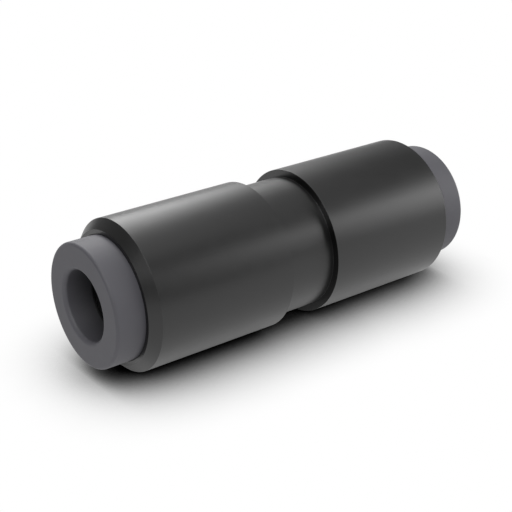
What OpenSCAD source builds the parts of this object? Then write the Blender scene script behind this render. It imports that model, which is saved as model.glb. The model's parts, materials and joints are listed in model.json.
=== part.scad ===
// Straight push-fit connector for two tubes, standing on the face of its far release button.
// Z runs along the axis of both tubes. Each port has a cartridge of the same pieces, which
// are drawn once in a port frame: z = 0 on the housing's end face, and +z out of the port.

/* [Tube] */
// Outside diameter of the tubes that the connector joins
tube_d = 6; // [4:0.1:12]
// Radial clearance around the tube in the button and in the socket
tube_gap = 0.05; // [0.05:0.01:0.15]
// How far the claws and the seal lip reach inside the tube's surface before a tube is pushed in
tube_bite = 0.15; // [0.1:0.01:0.2]

/* [Housing] */
// Length of the housing between its end faces
housing_l = 35; // [32:0.5:80]
// Wall of the housing around the cartridges
housing_wall = 1.25; // [0.9:0.05:4]
// Chamfer of the housing's outer end edges
housing_chamfer = 0.85; // [0.2:0.05:0.85]
// Length of the waist, which is also the web between the two tube stops
waist_l = 5.3; // [2:0.1:8]
// Depth of the waist below the full diameter
waist_depth = 0.7; // [0.1:0.05:1]
// Ledge on which the end of the tube stops
stop_ledge = 1.05; // [0.4:0.05:1.4]
// Lead-in chamfer where the tube enters the collet and its socket, and the legs enter the guide ring
lead_in = 0.3; // [0.1:0.05:0.5]

/* [Release button] */
// How far the button's face stands out of the housing
button_out = 2.75; // [1.4:0.05:6]
// How far the button can be pressed
button_travel = 1.1; // [0.6:0.05:1.3]
// Length of the button's head inside the housing's mouth at rest
head_in = 0.8; // [0.3:0.05:2]
// Radius of the rounded tube mouth
mouth_round = 0.67; // [0.2:0.01:0.8]
// Radius of the rounded outer edge of the face
edge_round = 0.3; // [0.1:0.01:0.6]
// How much wider than its tube mouth the button is inside
bore_relief = 0.3; // [0.1:0.05:0.5]
// Wall of the skirt
skirt_wall = 1.3; // [1:0.05:2]
// Width of the slots between the skirt's four legs
leg_slot_w = 1; // [0.4:0.1:2]
// Wall between the head and the ends of the slots
slot_web = 0.6; // [0.3:0.05:1]
// Height of the snap ridge on the legs
snap_h = 0.5; // [0.3:0.05:0.8]
// Length of the snap ridge
snap_l = 1; // [0.6:0.05:2]
// Wall of the nose that presses on the claws
nose_wall = 0.65; // [0.4:0.05:0.9]

/* [Guide ring] */
// Wall of the guide ring behind its lip
guide_wall = 0.45; // [0.4:0.05:1.5]
// Thickness of the lip that holds the snap ridge
guide_lip_t = 0.9; // [0.5:0.05:1.5]
// Length of the guide ring past the pressed button's snap ridge
guide_tail = 0.35; // [0.2:0.05:1]
// Height of the barbs that bite into the housing
barb_h = 0.06; // [0.02:0.01:0.1]
// Length of each barb
barb_l = 0.8; // [0.4:0.05:1]
// Number of barbs
barb_count = 2; // [1:1:2]

/* [Chuck] */
// Number of claws
claw_count = 8; // [6:1:10]
// Sheet thickness of the chuck
chuck_t = 0.25; // [0.15:0.01:0.3]
// Angle between the claws and the axis
claw_lean = 48; // [42:1:55]
// Width of the slots between the claws
claw_slot_w = 0.6; // [0.3:0.05:0.8]

/* [Collet and seal] */
// Thickness of the collet's floor
collet_floor_t = 0.6; // [0.4:0.05:1.5]
// Length of the seal
seal_l = 2.2; // [1.6:0.1:2.6]
// Wall of the seal's heel
seal_heel_wall = 1.1; // [0.8:0.05:1.3]
// Radius of the seal's rounded lip and edges
seal_round = 0.36; // [0.2:0.02:0.5]
// Width of the shoulder between the cartridge bore and the seal's chamber
seal_shoulder = 0.45; // [0.3:0.05:0.8]

/* [Clearances] */
// Gap around the button's head in the mouth of the housing
head_gap = 0.05; // [0.03:0.01:0.3]
// Gap around the button's skirt in the guide ring's lip
skirt_gap = 0.2; // [0.1:0.01:0.3]
// Gap around the snap ridge inside the guide ring
snap_gap = 0.15; // [0.1:0.01:0.3]
// Gap left between the pressed button and the guide ring, and between the claws and the collet
stop_gap = 0.1; // [0.05:0.01:0.2]
// Play between the snap ridge and the lip at rest
snap_play = 0.05; // [0.05:0.01:0.2]
// Gap between the button's nose and the claws at rest
nose_gap = 0.3; // [0.1:0.05:0.5]
// Radial gap around the chuck and the collet
seat_gap = 0.05; // [0.02:0.01:0.1]
// Play between the seal and the collet
seal_play = 0.1; // [0.05:0.01:0.2]

/* [Hidden] */
$fn = 96;

// Overshoot of every cut past the surface that it opens
cut = 0.5;

// Radii, from the tube outwards
tube_r = tube_d / 2;
bore_r = tube_r + tube_gap;
grip_r = tube_r - tube_bite;
relief_r = bore_r + bore_relief;
nose_r = relief_r + nose_wall;
skirt_r = relief_r + skirt_wall;
lip_r = skirt_r + skirt_gap;
snap_r = skirt_r + snap_h;
groove_r = snap_r + snap_gap;
mouth_r = groove_r + guide_wall;
head_r = mouth_r - head_gap;
seat_r = mouth_r - seat_gap;
housing_r = mouth_r + housing_wall;
waist_r = housing_r - waist_depth;
chamber_r = mouth_r - seal_shoulder;
waterway_r = bore_r - stop_ledge;

// Depths below the housing's end face, from the mouth inwards
guide_top = head_in + button_travel + stop_gap;
guide_groove = guide_top + guide_lip_t;
snap_top = guide_groove + snap_play;
snap_land = snap_l / 3;
guide_end = snap_top + snap_l + button_travel + guide_tail;
chuck_back = guide_end + chuck_t;
claw_root_r = lip_r + stop_gap;
claw_drop = (claw_root_r - grip_r) / tan(claw_lean);
claw_end = guide_end + claw_drop + chuck_t * sin(claw_lean);
nose_end = guide_end + (claw_root_r - nose_r) / tan(claw_lean) - nose_gap;
collet_floor = claw_end + button_travel + stop_gap;
collet_back = collet_floor + collet_floor_t;
seal_top = collet_back + seal_play;
seal_back = seal_top + seal_l;
tube_stop = (housing_l - waist_l) / 2;

// Puts a port frame at one end of the housing.
module at_port(far) {
    if (far) {
        translate([0, 0, button_out]) mirror([0, 0, 1]) children();
    } else {
        translate([0, 0, button_out + housing_l]) children();
    }
}

// A ring of rectangular section between two depths in a half plane.
module band(inner, outer, top, bottom) {
    translate([inner, -bottom]) square([outer - inner, bottom - top]);
}

// What rounding a convex corner takes away. The inward signs point into the material.
module corner_cut(x, y, in_x, in_y, radius) {
    difference() {
        translate([x - in_x * cut / 2 + in_x * radius / 2, y - in_y * cut / 2 + in_y * radius / 2])
            square(radius + cut, center = true);
        translate([x + in_x * radius, y + in_y * radius]) circle(radius);
    }
}

// Room for one port's cartridge, seal and tube inside the housing.
module port_bore() {
    rotate_extrude() {
        band(0, mouth_r, -cut, collet_back);
        band(0, chamber_r, collet_back - cut, seal_back);
        band(0, bore_r, seal_back - cut, tube_stop);
        polygon([
            [0, -seal_back + cut],
            [bore_r + lead_in + cut, -seal_back + cut],
            [bore_r, -seal_back - lead_in],
            [0, -seal_back - lead_in]
        ]);
    }
}

module housing() {
    ends = housing_l / 2;
    color("#1b1c1e")
    difference() {
        translate([0, 0, button_out + ends])
        rotate_extrude() {
            polygon([
                [0, -ends],
                [housing_r - housing_chamfer, -ends],
                [housing_r, -ends + housing_chamfer],
                [housing_r, -waist_l / 2],
                [waist_r, -waist_l / 2],
                [waist_r, waist_l / 2],
                [housing_r, waist_l / 2],
                [housing_r, ends - housing_chamfer],
                [housing_r - housing_chamfer, ends],
                [0, ends]
            ]);
        }
        at_port(false) port_bore();
        at_port(true) port_bore();
        translate([0, 0, button_out + ends - waist_l]) cylinder(r = waterway_r, h = 2 * waist_l);
    }
}

// Head, skirt, snap ridge and nose of the button, before its slots are cut.
module button_profile() {
    difference() {
        polygon([
            [bore_r, button_out],
            [head_r, button_out],
            [head_r, -head_in],
            [skirt_r, -head_in],
            [skirt_r, -snap_top],
            [snap_r, -snap_top],
            [snap_r, -snap_top - snap_land],
            [skirt_r, -snap_top - snap_l],
            [nose_r, -nose_end],
            [relief_r, -nose_end],
            [relief_r, -bore_relief],
            [bore_r, 0]
        ]);
        corner_cut(bore_r, button_out, 1, -1, mouth_round);
        corner_cut(head_r, button_out, -1, -1, edge_round);
    }
}

// One cut through both walls of the skirt, with a round end towards the head.
module leg_slot() {
    top = -head_in - slot_web - leg_slot_w / 2;
    translate([-mouth_r, -leg_slot_w / 2, -nose_end - cut])
        cube([2 * mouth_r, leg_slot_w, top + nose_end + cut]);
    translate([-mouth_r, 0, top]) rotate([0, 90, 0]) cylinder(d = leg_slot_w, h = 2 * mouth_r);
}

module release_button() {
    color("#626366")
    difference() {
        rotate_extrude() button_profile();
        leg_slot();
        rotate([0, 0, 90]) leg_slot();
    }
}

// Outline of a saw-tooth barb on the guide ring, steep towards the mouth.
function barb(top) = [[mouth_r, -top], [mouth_r + barb_h, -top], [mouth_r, -top - barb_l]];

module guide_ring() {
    pitch = (guide_end - guide_top) / (barb_count + 1);
    color("#b9bcc0")
    rotate_extrude() polygon(concat(
        [[lip_r + lead_in, -guide_top], [mouth_r, -guide_top]],
        [for (i = [1 : barb_count]) each barb(guide_top + i * pitch)],
        [[mouth_r, -guide_end], [groove_r, -guide_end], [groove_r, -guide_groove], [lip_r, -guide_groove]],
        [[lip_r, -guide_top - lead_in]]
    ));
}

module chuck() {
    lean_in = sin(claw_lean);
    lean_down = cos(claw_lean);
    // Distance along a claw's back to where it meets the back of the flat rim
    heel = chuck_t * (1 - lean_in) / lean_down;
    // Where the slots end, half their width inside the rim
    slot_end = claw_root_r - claw_slot_w / 2;
    color("#d0d3d6")
    difference() {
        rotate_extrude() polygon([
            [seat_r, -guide_end],
            [claw_root_r, -guide_end],
            [grip_r, -guide_end - claw_drop],
            [grip_r + chuck_t * lean_down, -claw_end],
            [claw_root_r + chuck_t * lean_down - heel * lean_in, -chuck_back],
            [seat_r, -chuck_back]
        ]);
        for (i = [0 : claw_count - 1]) {
            rotate([0, 0, (i + 0.5) * 360 / claw_count]) {
                translate([0, -claw_slot_w / 2, -claw_end - cut])
                    cube([slot_end, claw_slot_w, claw_end - guide_end + 2 * cut]);
                translate([slot_end, 0, -claw_end - cut])
                    cylinder(d = claw_slot_w, h = claw_end - guide_end + 2 * cut);
            }
        }
    }
}

module collet() {
    tube_hole_r = bore_r + stop_gap;
    color("#3a3b3d")
    rotate_extrude() polygon([
        [seat_r, -chuck_back],
        [claw_root_r + chuck_t, -chuck_back],
        [nose_r + stop_gap, -collet_floor],
        [tube_hole_r + lead_in, -collet_floor],
        [tube_hole_r, -collet_floor - lead_in],
        [tube_hole_r, -collet_back],
        [seat_r, -collet_back]
    ]);
}

// Lip seal: a heel against the chamber's wall and a rounded lip that reaches the tube.
module seal() {
    heel_r = chamber_r - seal_heel_wall;
    middle = -seal_top - seal_l / 2;
    web = seal_l / 2 - seal_round;
    color("#232323")
    rotate_extrude() {
        difference() {
            band(heel_r, chamber_r, seal_top, seal_back);
            corner_cut(heel_r, -seal_top, 1, -1, seal_round);
            corner_cut(heel_r, -seal_back, 1, 1, seal_round);
        }
        polygon([
            [heel_r + seal_round, middle + web],
            [grip_r + seal_round, middle + seal_round],
            [grip_r + seal_round, middle - seal_round],
            [heel_r + seal_round, middle - web]
        ]);
        translate([grip_r + seal_round, middle]) circle(seal_round);
    }
}

module near_release_button() { at_port(false) release_button(); }
module near_guide_ring() { at_port(false) guide_ring(); }
module near_chuck() { at_port(false) chuck(); }
module near_collet() { at_port(false) collet(); }
module near_seal() { at_port(false) seal(); }
module far_release_button() { at_port(true) release_button(); }
module far_guide_ring() { at_port(true) guide_ring(); }
module far_chuck() { at_port(true) chuck(); }
module far_collet() { at_port(true) collet(); }
module far_seal() { at_port(true) seal(); }

housing();
near_release_button();
near_guide_ring();
near_chuck();
near_collet();
near_seal();
far_release_button();
far_guide_ring();
far_chuck();
far_collet();
far_seal();
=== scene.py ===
import json
import math

import bpy
from mathutils import Matrix, Vector

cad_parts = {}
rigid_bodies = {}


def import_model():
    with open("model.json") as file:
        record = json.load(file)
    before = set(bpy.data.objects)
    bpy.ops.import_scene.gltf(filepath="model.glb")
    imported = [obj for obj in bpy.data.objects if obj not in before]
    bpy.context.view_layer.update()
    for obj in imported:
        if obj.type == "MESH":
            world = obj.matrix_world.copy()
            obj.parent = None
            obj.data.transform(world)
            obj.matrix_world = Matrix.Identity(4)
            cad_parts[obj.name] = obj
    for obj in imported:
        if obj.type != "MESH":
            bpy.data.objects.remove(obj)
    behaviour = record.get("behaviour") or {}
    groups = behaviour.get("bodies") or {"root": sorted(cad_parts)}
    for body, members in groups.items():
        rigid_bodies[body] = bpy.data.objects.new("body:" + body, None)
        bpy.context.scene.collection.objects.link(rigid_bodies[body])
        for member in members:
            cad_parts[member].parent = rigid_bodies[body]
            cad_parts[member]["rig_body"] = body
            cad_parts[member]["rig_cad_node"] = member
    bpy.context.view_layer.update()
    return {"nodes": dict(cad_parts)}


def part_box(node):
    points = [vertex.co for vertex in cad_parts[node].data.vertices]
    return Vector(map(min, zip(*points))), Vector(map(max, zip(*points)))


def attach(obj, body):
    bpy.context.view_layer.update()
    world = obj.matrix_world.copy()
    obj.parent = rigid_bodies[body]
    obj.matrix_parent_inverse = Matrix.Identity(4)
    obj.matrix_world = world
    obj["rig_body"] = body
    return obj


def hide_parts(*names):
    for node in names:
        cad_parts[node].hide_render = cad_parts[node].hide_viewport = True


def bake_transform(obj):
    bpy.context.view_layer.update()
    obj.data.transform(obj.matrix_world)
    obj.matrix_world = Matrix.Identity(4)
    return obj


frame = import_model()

# Straight push-fit connector. The object stands on its far release button, with Z along its axis.
# The photo's view is rolled: its ground is a plane that touches the housing's side.

MM = 0.001

# Sizes that the frame's boxes don't give, in millimetres. The housing, with the lead-in to its
# tube sockets and the way between them:
HOUSING_CHAMFER = 0.85
WAIST_LENGTH = 5.3
WAIST_DEPTH = 0.7
WATERWAY_R = 2.0
LEAD_IN = 0.3
EDGE_BREAK = 0.015
# The tube's bore, the button's rounded and slightly flared mouth, and how much wider its bore
# gets behind the housing's face:
TUBE_BORE_R = 3.05
MOUTH_ROUND = 0.43
MOUTH_DRAFT = 0.18
BORE_RELIEF = 0.3
# The button's head, with the gap round it and its depth in the housing:
FACE_EDGE_ROUND = 0.3
HEAD_GAP = 0.05
HEAD_IN = 0.8
# The button's skirt, snap ridge and nose, and the slots between its legs:
SKIRT_R = 4.65
SNAP_TOP = 2.95
SNAP_R = 5.15
SNAP_LENGTH = 1.0
NOSE_R = 4.0
SLOT_WIDTH = 1.0
SLOT_WEB = 0.6
# The gap under the housing, and how near to a flat face's plane a place counts as on it:
GROUND_GAP = 0.01
FLAT_REACH = 0.01

# Share of a slot's half width that its round end takes
SLOT_END_ROUND = 0.98

# Steps of a full turn and of each small round, and the parts that a claw is cut into
TURN_STEPS = 192
MOUTH_STEPS = 12
FACE_EDGE_STEPS = 6
SLOT_END_STEPS = 10
EDGE_BREAK_STEPS = 3
CLAW_CUTS = 8

# From what angle, in degrees, an edge is rounded, and from what angle it stays sharp in the shading
BREAK_ANGLE = 25
SHARP_ANGLE = 30
BUTTON_SHARP_ANGLE = 40
# How firmly wide faces keep their own normals, out of 100
FLATNESS = 90
# Points this near to each other, in metres, are one
WELD = 1e-6
OUTLINE_WELD = 1e-7
# From this cosine on, two directions count as the same
PARALLEL = 0.9

# Patterns of the resins and metals, in waves per metre, and how the flow lines are drawn out
FLOW_WAVES = 180
FLOW_STRETCH = (1, 1, 0.35)
GLOSS_WAVES = 900
GRAIN_WAVES = 9000
TOOL_MARK_WAVES = 2500
# How far the roughness swings, how deep the marks are in metres, and how dark a tool mark is
RESIN_SWING = 0.03
METAL_SWING = 0.06
GRAIN_DEPTH = 0.0000015
TOOL_MARK_DEPTH = 0.000003
TOOL_MARK_TONE = 0.85

# How smooth the housing's flat faces are, and the near-black painted onto them as shade in the steps
# and round the buttons
FLAT_ROUGHNESS = 0.27
PAINTED_FLAT_SHADE = (0.0003, 0.0003, 0.0003, 1)

# Painted shade in the button's bore: how far its wall is painted towards black at its mouth and at its
# end. It is painted black as deep shade from a line on, which lies this many millimetres above the
# housing's face.
PAINTED_BORE_SHADE = (0.002, 0.002, 0.002, 1)
MOUTH_SHADE = 0.15
DEEP_SHADE = 0.7
BLACK_FROM = 0.12
# How far past the radius of the mouth and of the relief a place still counts as inside
MOUTH_MARGIN = 1.005
RELIEF_MARGIN = 1.01

# Lines of the frame, in millimetres: where the housing ends and where its cartridges sit
housing_low, housing_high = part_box("housing")
HOUSING_R = housing_high.x / MM
NEAR_FACE = housing_high.z / MM
FAR_FACE = housing_low.z / MM
MIDDLE = (NEAR_FACE + FAR_FACE) / 2
button_low, button_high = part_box("near_release_button")
HEAD_R = button_high.x / MM
BUTTON_OUT = button_high.z / MM - NEAR_FACE
NOSE_DEPTH = NEAR_FACE - button_low.z / MM
MOUTH_R = HEAD_R + HEAD_GAP
seal_low, seal_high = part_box("near_seal")
CHAMBER_R = seal_high.x / MM
CHAMBER_DEPTH = NEAR_FACE - seal_low.z / MM
CARTRIDGE_DEPTH = NEAR_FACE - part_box("near_collet")[0].z / MM


def deselect_all():
    """Leaves edit mode and selects nothing."""
    if bpy.context.object and bpy.context.object.mode != "OBJECT":
        bpy.ops.object.mode_set(mode="OBJECT")
    bpy.ops.object.select_all(action="DESELECT")


def make_active(piece):
    """Selects one piece alone, for the operators that follow."""
    deselect_all()
    piece.select_set(True)
    bpy.context.view_layer.objects.active = piece


def apply_modifier(piece, kind, **settings):
    """Adds one modifier, sets it and applies it."""
    make_active(piece)
    modifier = piece.modifiers.new(kind.lower(), kind)
    for key, value in settings.items():
        setattr(modifier, key, value)
    bpy.ops.object.modifier_apply(modifier=modifier.name)


def arc(centre_r, centre_z, radius, start, end, count):
    """Points of an arc in the half plane (radius from the axis, height), angles in degrees."""
    angles = [math.radians(start + (end - start) * i / count) for i in range(count + 1)]
    return [(centre_r + radius * math.cos(a), centre_z + radius * math.sin(a)) for a in angles]


def turned(name, outline):
    """Turns a closed outline of (radius, height) points in millimetres about the Z axis."""
    deselect_all()
    start_r, start_z = outline[0]
    bpy.ops.mesh.primitive_plane_add(size=MM, location=(start_r * MM, 0, start_z * MM))
    piece = bpy.context.object
    piece.name = name
    bpy.ops.object.transform_apply(location=True, rotation=False, scale=False)
    bpy.ops.object.mode_set(mode="EDIT")
    bpy.ops.mesh.select_all(action="SELECT")
    bpy.ops.mesh.merge(type="CENTER")
    for (r0, z0), (r1, z1) in zip(outline, outline[1:] + outline[:1]):
        step = ((r1 - r0) * MM, 0, (z1 - z0) * MM)
        bpy.ops.mesh.extrude_vertices_move(TRANSFORM_OT_translate={"value": step})
    bpy.ops.mesh.select_all(action="SELECT")
    bpy.ops.mesh.remove_doubles(threshold=OUTLINE_WELD)
    bpy.ops.mesh.select_all(action="SELECT")
    bpy.ops.mesh.spin(steps=TURN_STEPS, angle=2 * math.pi, center=(0, 0, 0), axis=(0, 0, 1))
    bpy.ops.mesh.select_all(action="SELECT")
    bpy.ops.mesh.remove_doubles(threshold=WELD)
    bpy.ops.mesh.normals_make_consistent(inside=False)
    bpy.ops.object.mode_set(mode="OBJECT")
    return piece


def smooth(piece, degrees=SHARP_ANGLE):
    """Smooth shading: wide faces keep their own normals, and the small roundings take the turn."""
    make_active(piece)
    bpy.ops.object.shade_smooth_by_angle(angle=math.radians(degrees))
    # The modifier skips faces as small as these are in metres, so it works on an enlarged piece
    piece.data.transform(Matrix.Scale(1 / MM, 4))
    apply_modifier(piece, "WEIGHTED_NORMAL", mode="FACE_AREA", weight=FLATNESS, keep_sharp=True)
    piece.data.transform(Matrix.Scale(MM, 4))


def break_edges(piece):
    """Rounds every sharp edge by a little, as a mould does."""
    apply_modifier(
        piece,
        "BEVEL",
        width=EDGE_BREAK * MM,
        segments=EDGE_BREAK_STEPS,
        limit_method="ANGLE",
        angle_limit=math.radians(BREAK_ANGLE),
        use_clamp_overlap=True,
    )
    smooth(piece)


def flipped_copy(piece, name):
    """The same piece at the far port: half a turn about the line across the middle."""
    copy = piece.copy()
    copy.data = piece.data.copy()
    copy.name = name
    bpy.context.scene.collection.objects.link(copy)
    middle = Matrix.Translation((0, 0, MIDDLE * MM))
    copy.data.transform(middle @ Matrix.Rotation(math.pi, 4, "X") @ middle.inverted())
    return copy


# Materials


def new_material(name):
    """An empty material, with its nodes and links."""
    material = bpy.data.materials.new(name)
    material.use_nodes = True
    return material, material.node_tree.nodes, material.node_tree.links


def noise(nodes, links, scale, detail, stretch=(1, 1, 1)):
    """A noise on Object coordinates, its scale in waves per metre."""
    place = nodes.new("ShaderNodeTexCoord")
    mapping = nodes.new("ShaderNodeMapping")
    mapping.inputs["Scale"].default_value = stretch
    texture = nodes.new("ShaderNodeTexNoise")
    texture.inputs["Scale"].default_value = scale
    texture.inputs["Detail"].default_value = detail
    links.new(place.outputs["Object"], mapping.inputs["Vector"])
    links.new(mapping.outputs["Vector"], texture.inputs["Vector"])
    return texture.outputs["Fac"]


def ramp(nodes, links, factor, low, high, start=0.0, end=1.0, shape="LINEAR"):
    """Maps a factor that runs from start to end to a range of values."""
    node = nodes.new("ShaderNodeMapRange")
    node.interpolation_type = shape
    node.inputs["From Min"].default_value = start
    node.inputs["From Max"].default_value = end
    node.inputs["To Min"].default_value = low
    node.inputs["To Max"].default_value = high
    links.new(factor, node.inputs["Value"])
    return node.outputs["Result"]


def two_tone(nodes, links, factor, first, second):
    """A colour between two, by a factor."""
    mix = nodes.new("ShaderNodeMix")
    mix.data_type = "RGBA"
    mix.inputs["A"].default_value = (*first, 1)
    mix.inputs["B"].default_value = (*second, 1)
    links.new(factor, mix.inputs["Factor"])
    return mix.outputs["Result"]


def bump(nodes, links, height, distance):
    """Shading normals from a height that spans a distance in metres."""
    node = nodes.new("ShaderNodeBump")
    node.inputs["Distance"].default_value = distance
    links.new(height, node.inputs["Height"])
    return node.outputs["Normal"]


def moulded_resin(name, colour, tone, roughness, ior):
    """Moulded plastic: a faint tone change from melt flow, and a fine grain from the mould's wall."""
    material, nodes, links = new_material(name)
    shader = nodes["Principled BSDF"]
    shader.inputs["IOR"].default_value = ior
    flow = noise(nodes, links, scale=FLOW_WAVES, detail=2.0, stretch=FLOW_STRETCH)
    darker = [c * (1 - tone) for c in colour]
    lighter = [c * (1 + tone) for c in colour]
    links.new(two_tone(nodes, links, flow, darker, lighter), shader.inputs["Base Color"])
    gloss = noise(nodes, links, scale=GLOSS_WAVES, detail=4.0)
    satin = ramp(nodes, links, gloss, roughness - RESIN_SWING, roughness + RESIN_SWING)
    links.new(satin, shader.inputs["Roughness"])
    grain = noise(nodes, links, scale=GRAIN_WAVES, detail=2.0)
    links.new(bump(nodes, links, grain, GRAIN_DEPTH), shader.inputs["Normal"])
    return material


def metal(name, colour, roughness, stretch):
    """Bare steel with fine tool or rolling marks."""
    material, nodes, links = new_material(name)
    shader = nodes["Principled BSDF"]
    shader.inputs["Metallic"].default_value = 1.0
    marks = noise(nodes, links, scale=TOOL_MARK_WAVES, detail=3.0, stretch=stretch)
    darker = [c * TOOL_MARK_TONE for c in colour]
    links.new(two_tone(nodes, links, marks, darker, colour), shader.inputs["Base Color"])
    satin = ramp(nodes, links, marks, roughness - METAL_SWING, roughness + METAL_SWING)
    links.new(satin, shader.inputs["Roughness"])
    links.new(bump(nodes, links, marks, TOOL_MARK_DEPTH), shader.inputs["Normal"])
    return material


def calculate(nodes, links, operation, first, second=0.0):
    """One step of arithmetic on a socket, with a number or a second socket."""
    node = nodes.new("ShaderNodeMath")
    node.operation = operation
    links.new(first, node.inputs[0])
    if isinstance(second, float):
        node.inputs[1].default_value = second
    else:
        links.new(second, node.inputs[1])
    return node.outputs["Value"]


def object_place(nodes, links):
    """The three Object coordinates, which are the frame's, in metres."""
    place = nodes.new("ShaderNodeTexCoord")
    split = nodes.new("ShaderNodeSeparateXYZ")
    links.new(place.outputs["Object"], split.inputs["Vector"])
    return split.outputs


def place_on_part(nodes, links):
    """Distance from the axis, and distance from the middle along the axis."""
    place = object_place(nodes, links)
    x_squared = calculate(nodes, links, "POWER", place["X"], 2.0)
    y_squared = calculate(nodes, links, "POWER", place["Y"], 2.0)
    radius = calculate(nodes, links, "SQRT", calculate(nodes, links, "ADD", x_squared, y_squared))
    offset = calculate(nodes, links, "SUBTRACT", place["Z"], MIDDLE * MM)
    return radius, calculate(nodes, links, "ABSOLUTE", offset)


def blend_towards(nodes, links, socket, value, amount):
    """Takes what feeds a socket towards one value, all the way where the amount is 1."""
    mix = nodes.new("ShaderNodeMix")
    mix.data_type = "FLOAT" if isinstance(value, float) else "RGBA"
    links.new(amount, mix.inputs["Factor"])
    links.new(socket.links[0].from_socket, mix.inputs["A"])
    mix.inputs["B"].default_value = value
    links.new(mix.outputs["Result"], socket)


def paint_bore_shade(material):
    """Paints shade into the button's bore: darker from its mouth inwards, and black behind."""
    nodes, links = material.node_tree.nodes, material.node_tree.links
    radius, from_middle = place_on_part(nodes, links)
    mouth_r = (TUBE_BORE_R + MOUTH_DRAFT) * MM
    relief_r = (TUBE_BORE_R + BORE_RELIEF) * MM
    in_mouth = calculate(nodes, links, "LESS_THAN", radius, mouth_r * MOUTH_MARGIN)
    in_relief = calculate(nodes, links, "LESS_THAN", radius, relief_r * RELIEF_MARGIN)
    land_end = (NEAR_FACE - MIDDLE + BLACK_FROM) * MM
    past_land = calculate(nodes, links, "LESS_THAN", from_middle, land_end)
    face = (NEAR_FACE + BUTTON_OUT - MIDDLE) * MM
    deepening = ramp(nodes, links, from_middle, DEEP_SHADE, MOUTH_SHADE, land_end, face)
    shaded = calculate(nodes, links, "MULTIPLY", in_mouth, deepening)
    black = calculate(nodes, links, "MULTIPLY", in_relief, past_land)
    amount = calculate(nodes, links, "MAXIMUM", shaded, black)
    shader = nodes["Principled BSDF"]
    # The bore's base colour goes towards black here as painted shade
    blend_towards(nodes, links, shader.inputs["Base Color"], PAINTED_BORE_SHADE, amount)


def polish_and_shade_flats(material):
    """The housing's end faces and step faces come off flat tool faces: smoother, and painted blacker
    as shade in the steps and round the buttons.
    """
    nodes, links = material.node_tree.nodes, material.node_tree.links
    from_middle = place_on_part(nodes, links)[1]
    end_starts = (NEAR_FACE - MIDDLE - FLAT_REACH) * MM
    at_end = calculate(nodes, links, "GREATER_THAN", from_middle, end_starts)
    past_step = calculate(nodes, links, "SUBTRACT", from_middle, WAIST_LENGTH / 2 * MM)
    from_step = calculate(nodes, links, "ABSOLUTE", past_step)
    at_step = calculate(nodes, links, "LESS_THAN", from_step, FLAT_REACH * MM)
    flat = calculate(nodes, links, "MAXIMUM", at_end, at_step)
    shader = nodes["Principled BSDF"]
    blend_towards(nodes, links, shader.inputs["Roughness"], FLAT_ROUGHNESS, flat)
    # The flats' base colour goes towards near-black here as painted shade
    blend_towards(nodes, links, shader.inputs["Base Color"], PAINTED_FLAT_SHADE, flat)


def dress(piece, material):
    """Gives a piece one material and no other."""
    piece.data.materials.clear()
    piece.data.materials.append(material)


# Each resin: name, colour, tone change, roughness, IOR. Each metal: name, colour, roughness, stretch.
HOUSING_RESIN = moulded_resin("black_moulded_resin", (0.003, 0.003, 0.003), 0.15, 0.36, 1.6)
# The housing's flats get a smoother finish and painted shade
polish_and_shade_flats(HOUSING_RESIN)
BUTTON_RESIN = moulded_resin("grey_moulded_resin", (0.0685, 0.067, 0.077), 0.04, 0.58, 1.5)
# The button's bore gets painted shade, darker inwards and black behind
paint_bore_shade(BUTTON_RESIN)
COLLET_RESIN = moulded_resin("collet_black_resin", (0.02, 0.02, 0.021), 0.1, 0.5, 1.5)
SEAL_RUBBER = moulded_resin("nitrile_rubber", (0.012, 0.012, 0.012), 0.1, 0.7, 1.5)
GUIDE_METAL = metal("turned_steel", (0.58, 0.57, 0.55), 0.3, (0.15, 0.15, 3))
CLAW_STEEL = metal("stamped_steel", (0.62, 0.62, 0.62), 0.28, (1, 1, 1))


# Pieces


def port_outline(sign, face):
    """The housing's outline inside one port, from the mouth to the waterway."""
    tube_stop = (NEAR_FACE - FAR_FACE - WAIST_LENGTH) / 2
    depths = [
        (MOUTH_R, 0),
        (MOUTH_R, CARTRIDGE_DEPTH),
        (CHAMBER_R, CARTRIDGE_DEPTH),
        (CHAMBER_R, CHAMBER_DEPTH),
        (TUBE_BORE_R + LEAD_IN, CHAMBER_DEPTH),
        (TUBE_BORE_R, CHAMBER_DEPTH + LEAD_IN),
        (TUBE_BORE_R, tube_stop),
        (WATERWAY_R, tube_stop),
    ]
    return [(r, face - sign * depth) for r, depth in depths]


def make_housing():
    """The housing in one turned shell: chamfered ends, waist and both ports."""
    waist_r = HOUSING_R - WAIST_DEPTH
    flat_r = HOUSING_R - HOUSING_CHAMFER
    half_waist = WAIST_LENGTH / 2
    outside = [
        (flat_r, FAR_FACE),
        (HOUSING_R, FAR_FACE + HOUSING_CHAMFER),
        (HOUSING_R, MIDDLE - half_waist),
        (waist_r, MIDDLE - half_waist),
        (waist_r, MIDDLE + half_waist),
        (HOUSING_R, MIDDLE + half_waist),
        (HOUSING_R, NEAR_FACE - HOUSING_CHAMFER),
        (flat_r, NEAR_FACE),
    ]
    near_port = port_outline(1, NEAR_FACE)
    far_port = port_outline(-1, FAR_FACE)
    housing = turned("housing_shell", outside + near_port + far_port[::-1])
    break_edges(housing)
    dress(housing, HOUSING_RESIN)
    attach(housing, "housing")
    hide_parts("housing")


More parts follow.
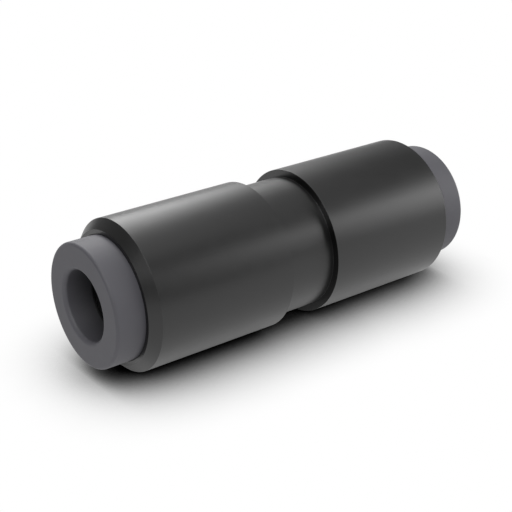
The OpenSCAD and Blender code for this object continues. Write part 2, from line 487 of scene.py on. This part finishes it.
def slot_cutter(turn):
    """A slab with a round end, which cuts two slots of the skirt."""
    root = NEAR_FACE - HEAD_IN - SLOT_WEB
    foot = NEAR_FACE - NOSE_DEPTH - SLOT_WIDTH
    height = (root + foot) / 2 * MM
    deselect_all()
    bpy.ops.mesh.primitive_cube_add(size=1, location=(0, 0, height), rotation=(0, 0, turn))
    cutter = bpy.context.object
    cutter.scale = (2 * MOUTH_R * MM, SLOT_WIDTH * MM, (root - foot) * MM)
    bpy.ops.object.transform_apply(location=True, rotation=True, scale=True)
    top = max(v.co.z for v in cutter.data.vertices)
    along = Vector((math.cos(turn), math.sin(turn), 0))
    for vertex in cutter.data.vertices:
        vertex.select = False
    for face in cutter.data.polygons:
        face.select = False
    for edge in cutter.data.edges:
        a, b = (cutter.data.vertices[i].co for i in edge.vertices)
        at_top = abs(a.z - top) < WELD and abs(b.z - top) < WELD
        edge.select = at_top and abs((a - b).normalized().dot(along)) > PARALLEL
    bpy.ops.object.mode_set(mode="EDIT")
    bpy.ops.mesh.select_mode(type="EDGE")
    round_end = SLOT_WIDTH / 2 * MM * SLOT_END_ROUND
    bpy.ops.mesh.bevel(offset=round_end, segments=SLOT_END_STEPS, affect="EDGES")
    bpy.ops.mesh.select_all(action="SELECT")
    bpy.ops.mesh.normals_make_consistent(inside=False)
    bpy.ops.object.mode_set(mode="OBJECT")
    return cutter


def make_release_button(name):
    """The near button, with its rounded tube mouth, snap ridge, nose and four legs."""
    face = NEAR_FACE + BUTTON_OUT
    relief_r = TUBE_BORE_R + BORE_RELIEF
    mouth_r = TUBE_BORE_R + MOUTH_DRAFT
    mouth_centre = (mouth_r + MOUTH_ROUND, face - MOUTH_ROUND)
    mouth = arc(*mouth_centre, MOUTH_ROUND, start=180, end=90, count=MOUTH_STEPS)
    edge_centre = (HEAD_R - FACE_EDGE_ROUND, face - FACE_EDGE_ROUND)
    edge = arc(*edge_centre, FACE_EDGE_ROUND, start=90, end=0, count=FACE_EDGE_STEPS)
    # A third of the snap ridge is straight, and the rest is its ramp
    ramp_top = NEAR_FACE - SNAP_TOP - SNAP_LENGTH / 3
    inside = [
        (HEAD_R, NEAR_FACE - HEAD_IN),
        (SKIRT_R, NEAR_FACE - HEAD_IN),
        (SKIRT_R, NEAR_FACE - SNAP_TOP),
        (SNAP_R, NEAR_FACE - SNAP_TOP),
        (SNAP_R, ramp_top),
        (SKIRT_R, NEAR_FACE - SNAP_TOP - SNAP_LENGTH),
        (NOSE_R, NEAR_FACE - NOSE_DEPTH),
        (relief_r, NEAR_FACE - NOSE_DEPTH),
        (relief_r, NEAR_FACE - BORE_RELIEF),
        (TUBE_BORE_R, NEAR_FACE),
    ]
    button = turned(name, mouth + edge + inside)
    for turn in (0, math.pi / 2):
        cutter = slot_cutter(turn)
        apply_modifier(button, "BOOLEAN", object=cutter, operation="DIFFERENCE", solver="EXACT")
        bpy.data.objects.remove(cutter)
    smooth(button, BUTTON_SHARP_ANGLE)
    return button


def make_chuck(node, name):
    """A welded copy of the chuck, cut across its claws into bands."""
    deselect_all()
    source = frame["nodes"][node]
    chuck = source.copy()
    chuck.data = source.data.copy()
    chuck.name = name
    chuck.parent = None
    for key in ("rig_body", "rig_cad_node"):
        if key in chuck:
            del chuck[key]
    bpy.context.scene.collection.objects.link(chuck)
    make_active(chuck)
    low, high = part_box(node)
    bpy.ops.object.mode_set(mode="EDIT")
    bpy.ops.mesh.select_all(action="SELECT")
    bpy.ops.mesh.remove_doubles(threshold=WELD)
    for i in range(1, CLAW_CUTS):
        bpy.ops.mesh.select_all(action="SELECT")
        height = low.z + (high.z - low.z) * i / CLAW_CUTS
        bpy.ops.mesh.bisect(plane_co=(0, 0, height), plane_no=(0, 0, 1))
    bpy.ops.object.mode_set(mode="OBJECT")
    smooth(chuck)
    return chuck


def make_buttons():
    """Both release buttons, the far one a flipped copy of the near one."""
    near = make_release_button("near_button_moulding")
    far = flipped_copy(near, "far_button_moulding")
    for button, side in ((near, "near"), (far, "far")):
        dress(button, BUTTON_RESIN)
        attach(button, side + "_button")
        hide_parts(side + "_release_button")


def make_chucks():
    """Both claw rings, in the chucks' place, whose own meshes are hidden."""
    for side in ("near", "far"):
        chuck = make_chuck(side + "_chuck", side + "_claw_ring")
        dress(chuck, CLAW_STEEL)
        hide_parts(side + "_chuck")
        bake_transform(chuck)


def dress_hidden_rings():
    """The rings that keep the solids' own meshes."""
    for side in ("near", "far"):
        dress(frame["nodes"][side + "_guide_ring"], GUIDE_METAL)
        dress(frame["nodes"][side + "_collet"], COLLET_RESIN)
        dress(frame["nodes"][side + "_seal"], SEAL_RUBBER)


# Stage, light and camera

# The photo's own directions: along the axis towards the far port, up from its ground, and away
UP_TURN = math.radians(-45)
ALONG = Vector((0, 0, -1))
UP = Vector((math.cos(UP_TURN), math.sin(UP_TURN), 0))
AWAY = UP.cross(ALONG)
# The near chamfer's outer circle, from which the photo's distances are counted
PHOTO_START = Vector((0, 0, (NEAR_FACE - HOUSING_CHAMFER) * MM))

# The camera: lens and sensor in millimetres, the distances in metres between which it sees, and
# where it stands and looks, in millimetres along the photo's directions
LENS = 83.805
SENSOR = 36.0
SEES_FROM = 0.005
SEES_TO = 10
CAMERA_FROM = (-47.02, -81.16, 46.63)
CAMERA_TO = (14.79, -0.41, -0.20)

# Soft panels: name, azimuth and elevation in degrees, width and height in metres, radiance
PANELS = (
    ("back_panel", 73, 42, 0.66, 1.08, 4.43),
    ("front_panel", -24, 17, 0.72, 0.55, 4.8),
    ("overhead_panel", -94, 87, 0.83, 1.39, 0.93),
    ("key_panel", -136, 46, 0.68, 0.53, 5.0),
)
# From this elevation on, a panel's own up is ALONG
STEEP = 80

# What the camera sees of the world, and the dim glow of it that lights the object
WHITE = (1, 1, 1, 1)
WORLD_GLOW = 0.13

GROUND_R = 2.0
GROUND_SIDES = 96
OPENNESS_SAMPLES = 32
# How far the ground looks for what covers it, how open it is where its shadow is black, and
# where the shadow ends. To keep the shadow dark at both ends, as in the photo, the ground looks
# from UP more and more towards the middle: so much towards +Z, at so far from the middle.
SHADOW_REACH = 0.01
SHADOW_DARK = 0.1
SHADOW_CLEAR = 0.95
LEAN_SPAN = 0.025
LEAN_AT_FAR = 0.6
LEAN_AT_NEAR = -0.344
# The same for the glow that the object sees, and the glow's strength at the contact and in the open
GLOW_REACH = 0.15
GLOW_DARK = 0.02
GLOW_CLEAR = 0.45
GLOW_AT_CONTACT = 0.15
GROUND_GLOW = 0.9


def photo_point(along, away, up):
    """A place in the frame from the photo's directions, in millimetres."""
    return PHOTO_START + (ALONG * along + AWAY * away + UP * up) * MM


def aim(thing, place, target, up=UP):
    """Puts a camera or lamp at a place, looking at a target, with its up as given."""
    forward = (target - place).normalized()
    right = forward.cross(up).normalized()
    turn = Matrix((right, right.cross(forward), -forward)).transposed().to_4x4()
    thing.matrix_world = Matrix.Translation(place) @ turn


def make_camera():
    """The photo's own view."""
    data = bpy.data.cameras.new("photo_camera")
    data.lens = LENS
    data.sensor_width = SENSOR
    data.clip_start = SEES_FROM
    data.clip_end = SEES_TO
    camera = bpy.data.objects.new("photo_camera", data)
    bpy.context.scene.collection.objects.link(camera)
    aim(camera, photo_point(*CAMERA_FROM), photo_point(*CAMERA_TO))
    bpy.context.scene.camera = camera


def softbox(name, azimuth, elevation, width, height, radiance):
    """A soft panel one metre from the housing's middle, at an even radiance.

    Azimuth turns from ALONG towards AWAY, and elevation rises from the photo's ground.
    """
    turn, rise = math.radians(azimuth), math.radians(elevation)
    level = ALONG * math.cos(turn) + AWAY * math.sin(turn)
    middle = Vector((0, 0, MIDDLE * MM))
    place = middle + level * math.cos(rise) + UP * math.sin(rise)
    data = bpy.data.lights.new(name, "AREA")
    data.shape = "RECTANGLE"
    data.size = width
    data.size_y = height
    data.energy = radiance * math.pi * width * height
    lamp = bpy.data.objects.new(name, data)
    lamp.visible_camera = False
    bpy.context.scene.collection.objects.link(lamp)
    aim(lamp, place, middle, up=UP if elevation < STEEP else ALONG)


def by_camera_ray(nodes, links, shown, other):
    """One shader for what the camera sees, another for light and reflections."""
    path = nodes.new("ShaderNodeLightPath")
    mix = nodes.new("ShaderNodeMixShader")
    links.new(path.outputs["Is Camera Ray"], mix.inputs["Fac"])
    links.new(other, mix.inputs[1])
    links.new(shown, mix.inputs[2])
    return mix.outputs["Shader"]


def make_world():
    """White to the camera, and dim to light and reflections."""
    world = bpy.data.worlds.new("studio")
    bpy.context.scene.world = world
    world.use_nodes = True
    nodes, links = world.node_tree.nodes, world.node_tree.links
    dim = nodes["Background"]
    dim.inputs["Color"].default_value = WHITE
    dim.inputs["Strength"].default_value = WORLD_GLOW
    white = nodes.new("ShaderNodeBackground")
    white.inputs["Color"].default_value = WHITE
    white.inputs["Strength"].default_value = 1.0
    seen = by_camera_ray(nodes, links, white.outputs["Background"], dim.outputs["Background"])
    links.new(seen, nodes["World Output"].inputs["Surface"])


def looking_up(nodes, links, at_far, at_near):
    """A direction near UP, with its part towards +Z set by the place along the part."""
    place = object_place(nodes, links)
    start = MIDDLE * MM - LEAN_SPAN
    end = MIDDLE * MM + LEAN_SPAN
    direction = nodes.new("ShaderNodeCombineXYZ")
    direction.inputs["X"].default_value = UP.x
    direction.inputs["Y"].default_value = UP.y
    links.new(ramp(nodes, links, place["Z"], at_far, at_near, start, end), direction.inputs["Z"])
    unit = nodes.new("ShaderNodeVectorMath")
    unit.operation = "NORMALIZE"
    links.new(direction.outputs["Vector"], unit.inputs[0])
    return unit.outputs["Vector"]


def glow_by_openness(nodes, links, direction, reach, dark, clear, least, most):
    """A glow that fades where nearby pieces cover the ground."""
    openness = nodes.new("ShaderNodeAmbientOcclusion")
    openness.samples = OPENNESS_SAMPLES
    openness.inputs["Distance"].default_value = reach
    links.new(direction, openness.inputs["Normal"])
    fade = ramp(nodes, links, openness.outputs["AO"], least, most, dark, clear, "SMOOTHSTEP")
    glow = nodes.new("ShaderNodeEmission")
    links.new(fade, glow.inputs["Strength"])
    return glow.outputs["Emission"]


def ground_material():
    """White ground, clear from below. It is black at the contact, where its glow is weak too."""
    material, nodes, links = new_material("pale_ground")
    nodes.remove(nodes["Principled BSDF"])
    leaned = looking_up(nodes, links, LEAN_AT_FAR, LEAN_AT_NEAR)
    seen = glow_by_openness(nodes, links, leaned, SHADOW_REACH, SHADOW_DARK, SHADOW_CLEAR, 0.0, 1.0)
    upright = looking_up(nodes, links, 0.0, 0.0)
    felt = glow_by_openness(
        nodes, links, upright, GLOW_REACH, GLOW_DARK, GLOW_CLEAR, GLOW_AT_CONTACT, GROUND_GLOW
    )
    top = by_camera_ray(nodes, links, seen, felt)
    clear_below = nodes.new("ShaderNodeBsdfTransparent")
    side = nodes.new("ShaderNodeNewGeometry")
    by_side = nodes.new("ShaderNodeMixShader")
    links.new(side.outputs["Backfacing"], by_side.inputs["Fac"])
    links.new(top, by_side.inputs[1])
    links.new(clear_below.outputs["BSDF"], by_side.inputs[2])
    links.new(by_side.outputs["Shader"], nodes["Material Output"].inputs["Surface"])
    return material


def make_ground():
    """The photo's ground, a plane that touches the housing's side."""
    deselect_all()
    bpy.ops.mesh.primitive_circle_add(vertices=GROUND_SIDES, radius=GROUND_R, fill_type="NGON")
    ground = bpy.context.object
    ground.name = "ground"
    place = Vector((0, 0, MIDDLE * MM)) - UP * (HOUSING_R + GROUND_GAP) * MM
    turn = UP.to_track_quat("Z", "Y").to_matrix().to_4x4()
    ground.data.transform(Matrix.Translation(place) @ turn)
    dress(ground, ground_material())


make_camera()
make_housing()
make_buttons()
make_chucks()
dress_hidden_rings()
make_ground()
for panel in PANELS:
    softbox(*panel)
make_world()

bpy.context.scene.view_settings.view_transform = "Standard"
